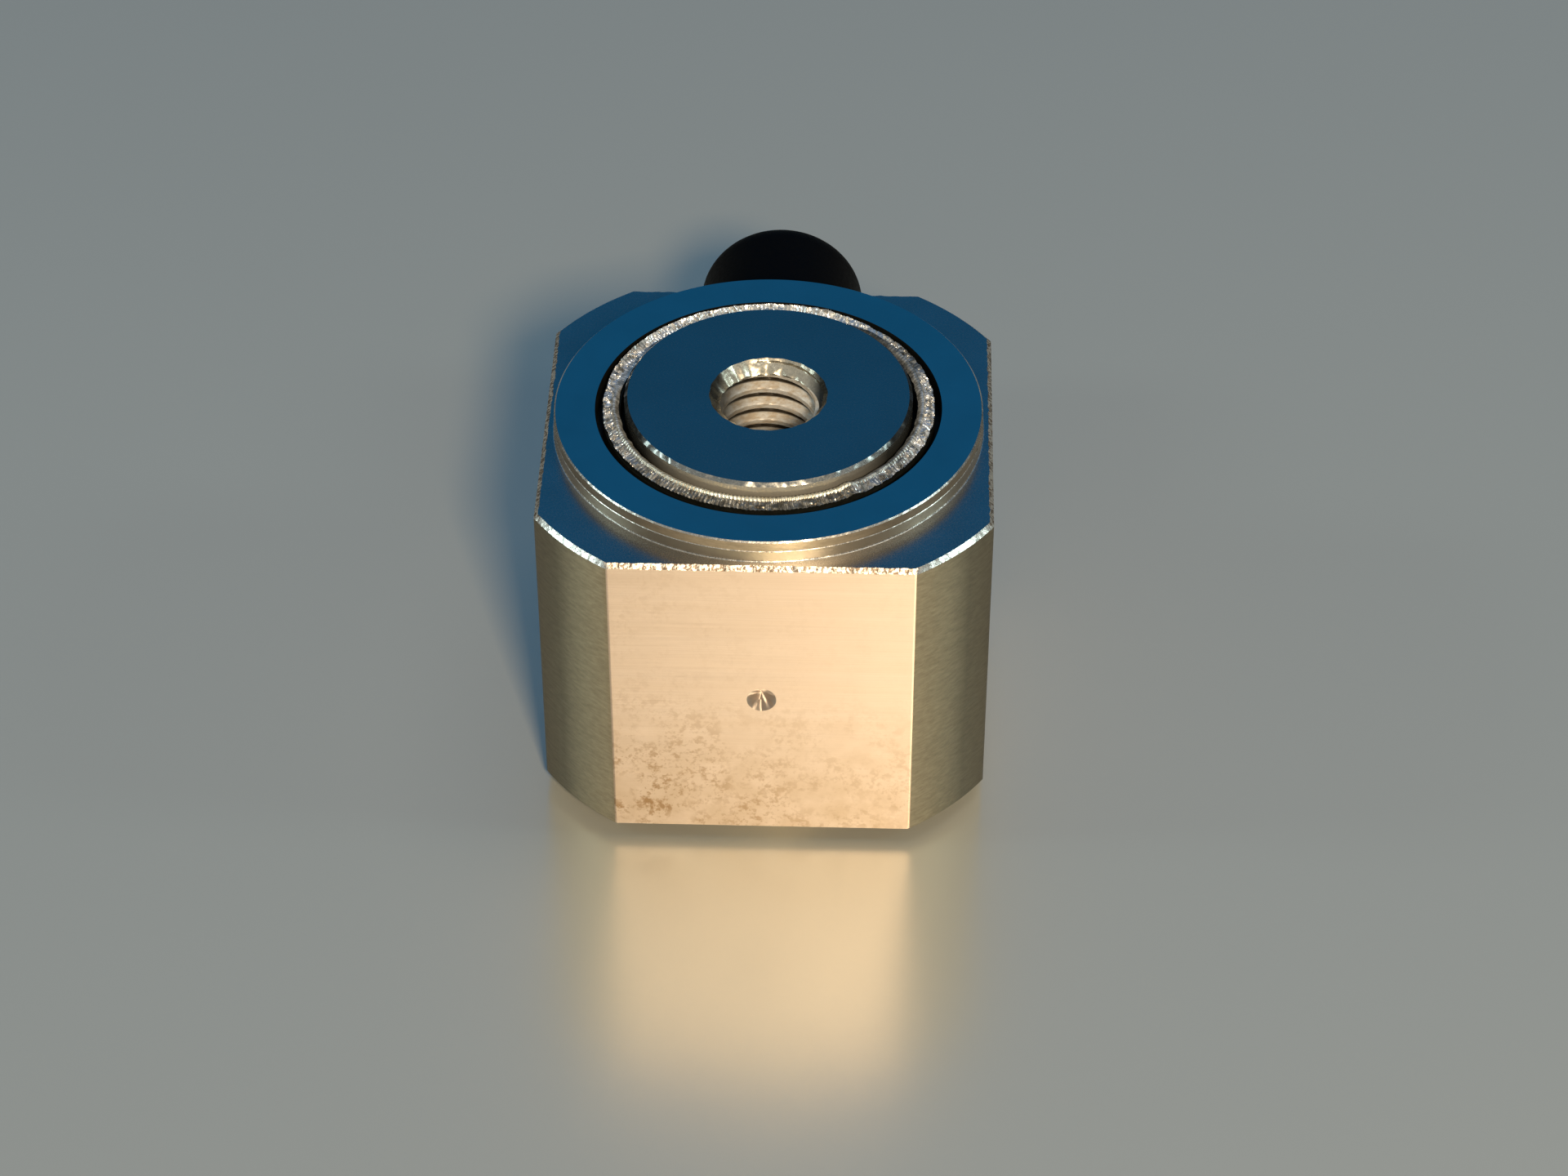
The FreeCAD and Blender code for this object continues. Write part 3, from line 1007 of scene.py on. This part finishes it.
adopt(make_housing(), "sensor", "ground_steel", "housing")
adopt(make_force_cap(), "sensor", "lapped_steel", "force_cap")
adopt(make_weld_bead(), "sensor", "weld_steel", "weld_bead")
adopt(make_connector_body(), "sensor", "connector_steel", "connector_body")
adopt(make_protective_cap(), "cap", "cap_plastic", "protective_cap")

inner_materials = {
    "upper_crystal": crystal, "lower_crystal": crystal, "electrode": gilt,
    "insulating_sleeve": insulator, "connector_insulator": insulator, "centre_contact": gilt,
}
for name, material in inner_materials.items():
    nodes[name].data.materials.clear()
    nodes[name].data.materials.append(material)


# Stage

def make_floor():
    """Plain pale floor."""
    reach, cloud_waves = 1.5, 0.02
    dark, light = (0.87, 0.855, 0.75), (0.91, 0.895, 0.79)
    material, tree, main = shader("floor", Metallic=0.56, Roughness=0.27)
    tint = blend_colour(tree, grain(tree, cloud_waves), dark, light)
    tree.links.new(tint, main.inputs["Base Color"])
    corners = [(-reach, -reach, 0), (reach, -reach, 0), (reach, reach, 0), (-reach, reach, 0)]
    floor = mesh_object("floor", corners, [(0, 1, 2, 3)], [0], [material])


def softbox(name, direction, distance, size, colour, radiance):
    """Soft light in a direction from the sensor's middle, of a given brightness to look at."""
    aim = Vector((0, 0, disc_top / 2))
    light = bpy.data.lights.new(name, "AREA")
    light.shape = "RECTANGLE"
    light.size, light.size_y = size
    light.color = colour
    light.energy = radiance * math.pi * size[0] * size[1]
    lamp = bpy.data.objects.new(name, light)
    lamp.location = aim + Vector(direction).normalized() * distance
    lamp.rotation_euler = (aim - lamp.location).to_track_quat("-Z", "Y").to_euler()
    bpy.context.scene.collection.objects.link(lamp)


def make_lights():
    """Warm key light beside the camera, a weak one above, and two cool ones to the sides."""
    softbox(
        "key_light", direction=(0.175, -0.778, 0.605), distance=0.40, size=(0.05, 0.05),
        colour=(1.0, 0.79, 0.54), radiance=139.0)
    softbox(
        "top_light", direction=(0.25, 0.1, 0.96), distance=0.30, size=(0.12, 0.12),
        colour=(1.0, 0.95, 0.86), radiance=1.6)
    for name, side in (("left_light", -1), ("right_light", 1)):
        softbox(
            name, direction=(0.85 * side, -0.07, 0.52), distance=0.20, size=(0.03, 0.04),
            colour=(0.78, 1.0, 1.0), radiance=7.0)


def make_world():
    """Even grey light all round; mirrors see a grey room with a deep blue wall behind the sensor."""
    ambient, backdrop = (0.10, 0.122, 0.132), (0.40, 0.41, 0.41)
    wall_low, wall_high = (0.004, 0.035, 0.075), (0.006, 0.094, 0.225)
    room_low, room_high = (0.03, 0.033, 0.033), (0.27, 0.275, 0.265)
    # the wall's middle, the cosines from it between which it fades, and the rise of both tones
    wall_middle, wall_edge, rise_range = (0, 0.79, 0.61), (0.68, 0.88), (0.1, 0.55)
    world = bpy.data.worlds.new("studio")
    bpy.context.scene.world = world
    world.use_nodes = True
    tree = world.node_tree
    light_path = node(tree, "ShaderNodeLightPath").outputs
    direction = node(tree, "ShaderNodeTexCoord").outputs["Generated"]
    up = node(tree, "ShaderNodeSeparateXYZ", {0: direction}).outputs["Z"]
    rise = ramp(tree, up, rise_range)
    towards = node(
        tree, "ShaderNodeVectorMath", {0: direction, 1: wall_middle}, operation="DOT_PRODUCT")
    wall = blend_colour(tree, rise, wall_low, wall_high)
    room = blend_colour(tree, rise, room_low, room_high)
    mirrored = blend_colour(tree, ramp(tree, towards.outputs["Value"], wall_edge), room, wall)
    colour = blend_colour(tree, light_path["Is Glossy Ray"], ambient, mirrored)
    colour = blend_colour(tree, light_path["Is Camera Ray"], colour, backdrop)
    tree.links.new(colour, tree.nodes["Background"].inputs["Color"])


def make_camera():
    """Camera at the photograph's place, fitted to the edges of the sensor."""
    eye_place = Vector((3.811, -108.876, 98.099)) * MM
    target = Vector((0.613, -2.278, 7.0)) * MM
    camera = bpy.data.cameras.new("camera")
    camera.sensor_width = 36.0
    camera.lens = 90.0
    camera.clip_start = 0.005
    eye = bpy.data.objects.new("camera", camera)
    eye.location = eye_place
    eye.rotation_euler = (target - eye_place).to_track_quat("-Z", "Y").to_euler()
    bpy.context.scene.collection.objects.link(eye)
    bpy.context.scene.camera = eye


make_floor()
make_world()
make_lights()
make_camera()
bpy.context.scene.view_settings.view_transform = "Standard"
